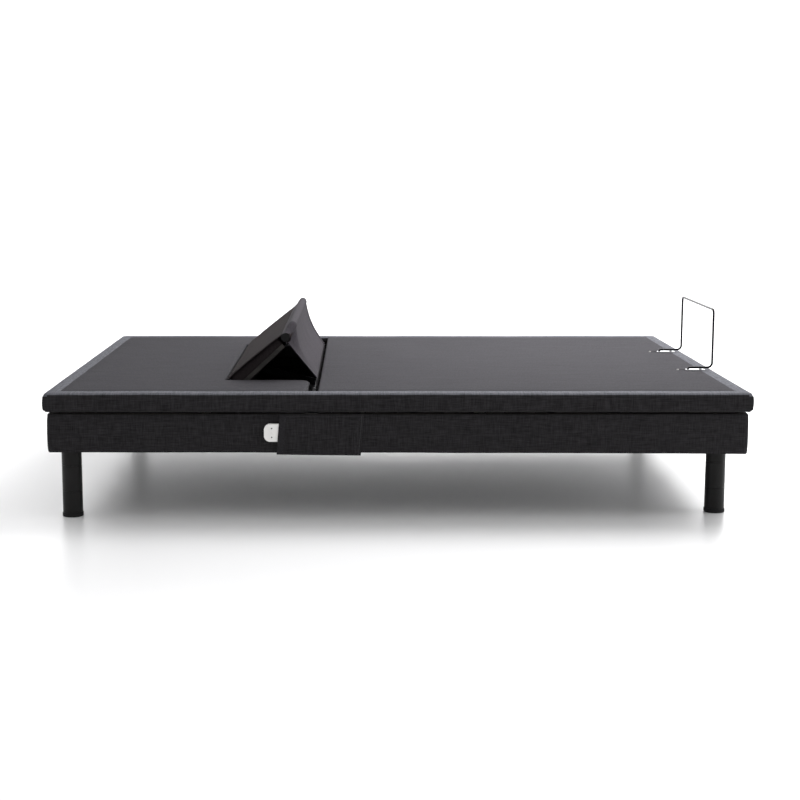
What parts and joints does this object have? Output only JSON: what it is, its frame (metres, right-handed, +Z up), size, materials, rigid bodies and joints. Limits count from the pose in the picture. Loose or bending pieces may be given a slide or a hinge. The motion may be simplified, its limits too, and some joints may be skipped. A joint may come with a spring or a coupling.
{
  "type": "adjustable bed base",
  "caption": "Low upholstered bed base on round legs with hinged motor-driven head, thigh and foot sections, a raised lumbar panel, mattress retainer bar and pocketed remote.",
  "frame": {"origin": "on the floor, under the middle of the deck", "axes": "+X towards the foot end, +Y away from the side with the remote pocket, +Z up"},
  "size_m": [2.03, 1.5316, 0.566],
  "materials": {
    "linen_cover": "slubby two-tone linen weave",
    "deck_cover": "smooth charcoal weave with a linen border",
    "lumbar_cover": "fine stretch knit",
    "sling_cloth": "thin stretch cloth",
    "plywood": "black-stained plywood",
    "box_board": "dark particle board",
    "frame_steel": "black powder coat",
    "lug_steel": "black zinc plate",
    "bright_steel": "bright zinc",
    "leg_black": "satin black",
    "black_plastic": "textured",
    "motor_tube_metal": "satin black",
    "roller_nylon": "natural nylon",
    "remote_white": "satin white",
    "remote_keys": "soft touch",
    "wire_black": "gloss black"
  },
  "bodies": {
    "base": {"side_rails": "frame_steel", "end_rails": "frame_steel", "seat_cross_tubes": "frame_steel", "motor_cross_tubes": "frame_steel", "leg_plates": "frame_steel", "leg_upper_sections": "leg_black", "leg_middle_sections": "leg_black", "leg_lower_sections": "leg_black", "leg_glides": "black_plastic", "frame_bolts": "bright_steel", "box_side_boards": "box_board", "box_end_boards": "box_board", "box_cover": "linen_cover", "seat_board": "plywood", "seat_pad": "deck_cover", "seat_hinge_lugs": "lug_steel", "seat_hinge_pins": "bright_steel", "pivot_blocks": "frame_steel", "motor_housings": "black_plastic", "motor_tubes": "motor_tube_metal", "control_box": "black_plastic", "remote_pocket": "linen_cover"},
    "head_section": {"head_board": "plywood", "head_pad": "deck_cover", "head_hinge_lugs": "lug_steel", "sling_rod": "lug_steel", "head_runner_plates": "frame_steel", "lumbar_motor": "frame_steel", "lumbar_hinge_lugs": "lug_steel"},
    "head_lift": {"head_lift_frame": "frame_steel"},
    "head_rollers": {"head_rollers": "roller_nylon"},
    "head_rod": {"head_motor_rod": "bright_steel"},
    "thigh_section": {"thigh_board": "plywood", "thigh_pad": "deck_cover", "thigh_hinge_lugs": "lug_steel", "thigh_runner_plates": "frame_steel", "knee_pins": "bright_steel"},
    "foot_section": {"foot_board": "plywood", "foot_pad": "deck_cover", "foot_brackets": "lug_steel", "retainer_bar": "wire_black", "retainer_plates": "bright_steel", "retainer_fasteners": "wire_black"},
    "foot_links": {"foot_links": "frame_steel"},
    "thigh_lift": {"thigh_lift_frame": "frame_steel"},
    "thigh_rollers": {"thigh_rollers": "roller_nylon"},
    "thigh_rod": {"thigh_motor_rod": "bright_steel"},
    "lumbar_panel": {"lumbar_board": "plywood", "lumbar_pad": "lumbar_cover", "lumbar_bar": "lug_steel", "lumbar_bar_caps": "black_plastic", "lumbar_brackets": "lug_steel", "lumbar_sling": "sling_cloth"},
    "lumbar_rod": {"lumbar_motor_rod": "bright_steel"},
    "remote": {"remote_back_shell": "remote_white", "remote_front_shell": "remote_white"},
    "upper_button": {"remote_upper_button": "remote_keys"},
    "lower_button": {"remote_lower_button": "remote_keys"},
    "head_rocker": {"remote_head_rocker": "remote_keys"},
    "foot_rocker": {"remote_foot_rocker": "remote_keys"}
  },
  "joints": [
    {"name": "head_raise", "type": "hinge", "parent": "base", "child": "head_section", "pos_m": [-0.247, 0, 0.345], "axis": [0, 1, 0], "range_deg": [0, 60]},
    {"name": "head_lift_turn", "type": "hinge", "parent": "base", "child": "head_lift", "pos_m": [-0.167, 0, 0.2957], "axis": [0, 1, 0], "range_deg": [0, 46.6]},
    {"name": "head_roller_spin", "type": "hinge", "parent": "head_lift", "child": "head_rollers", "pos_m": [-0.567, 0, 0.2957], "axis": [0, 1, 0], "range_deg": [-32, 1]},
    {"name": "head_rod_slide", "type": "slide", "parent": "base", "child": "head_rod", "axis": [-1, 0, 0], "range_m": [0, 0.0625]},
    {"name": "thigh_raise", "type": "hinge", "parent": "base", "child": "thigh_section", "pos_m": [0.045, 0, 0.345], "axis": [0, -1, 0], "range_deg": [0, 38]},
    {"name": "knee_bend", "type": "hinge", "parent": "thigh_section", "child": "foot_section", "pos_m": [0.435, 0, 0.322], "axis": [0, 1, 0], "range_deg": [0, 46.2]},
    {"name": "foot_link_swing", "type": "hinge", "parent": "base", "child": "foot_links", "pos_m": [0.3842, 0, 0.29], "axis": [0, -1, 0], "range_deg": [0, 44.8]},
    {"name": "thigh_lift_turn", "type": "hinge", "parent": "base", "child": "thigh_lift", "pos_m": [-0.035, 0, 0.2957], "axis": [0, -1, 0], "range_deg": [0, 25.9]},
    {"name": "thigh_roller_spin", "type": "hinge", "parent": "thigh_lift", "child": "thigh_rollers", "pos_m": [0.245, 0, 0.2957], "axis": [0, -1, 0], "range_deg": [-52.2, 1]},
    {"name": "thigh_rod_slide", "type": "slide", "parent": "base", "child": "thigh_rod", "axis": [1, 0, 0], "range_m": [0, 0.0335]},
    {"name": "lumbar_raise", "type": "hinge", "parent": "head_section", "child": "lumbar_panel", "pos_m": [-0.511, 0, 0.363], "axis": [0, -1, 0], "range_deg": [-39, 0], "deforming": ["lumbar_sling"]},
    {"name": "lumbar_rod_slide", "type": "slide", "parent": "head_section", "child": "lumbar_rod", "axis": [1, 0, 0], "range_m": [-0.0555, 0]},
    {"name": "remote_pull", "type": "slide", "parent": "base", "child": "remote", "axis": [-1, 0, 0], "range_m": [0, 0.115]},
    {"name": "upper_button_press", "type": "slide", "parent": "remote", "child": "upper_button", "axis": [0, 1, 0], "range_m": [0, 0.0008], "stiffness_N_per_m": 600, "springref_m": -0.0008},
    {"name": "lower_button_press", "type": "slide", "parent": "remote", "child": "lower_button", "axis": [0, 1, 0], "range_m": [0, 0.0008], "stiffness_N_per_m": 600, "springref_m": -0.0008},
    {"name": "head_rocker_tilt", "type": "hinge", "parent": "remote", "child": "head_rocker", "pos_m": [-0.313, -0.7652, 0.2585], "axis": [1, 0, 0], "range_deg": [-3, 3], "stiffness_Nm_per_rad": 0.05},
    {"name": "foot_rocker_tilt", "type": "hinge", "parent": "remote", "child": "foot_rocker", "pos_m": [-0.273, -0.7652, 0.2585], "axis": [1, 0, 0], "range_deg": [-3, 3], "stiffness_Nm_per_rad": 0.05}
  ],
  "couplings": [
    {"joint": "head_lift_turn", "follows": "head_raise", "ratio": 0.77401},
    {"joint": "head_roller_spin", "follows": "head_raise", "ratio": -0.516},
    {"joint": "head_rod_slide", "follows": "head_raise", "m_per_rad": 0.05899},
    {"joint": "knee_bend", "follows": "thigh_raise", "ratio": 1.2105},
    {"joint": "foot_link_swing", "follows": "thigh_raise", "ratio": 1.1746},
    {"joint": "thigh_lift_turn", "follows": "thigh_raise", "ratio": 0.67636},
    {"joint": "thigh_roller_spin", "follows": "thigh_raise", "ratio": -1.365},
    {"joint": "thigh_rod_slide", "follows": "thigh_raise", "m_per_rad": 0.04953},
    {"joint": "lumbar_rod_slide", "follows": "lumbar_raise", "m_per_rad": 0.08116}
  ]
}
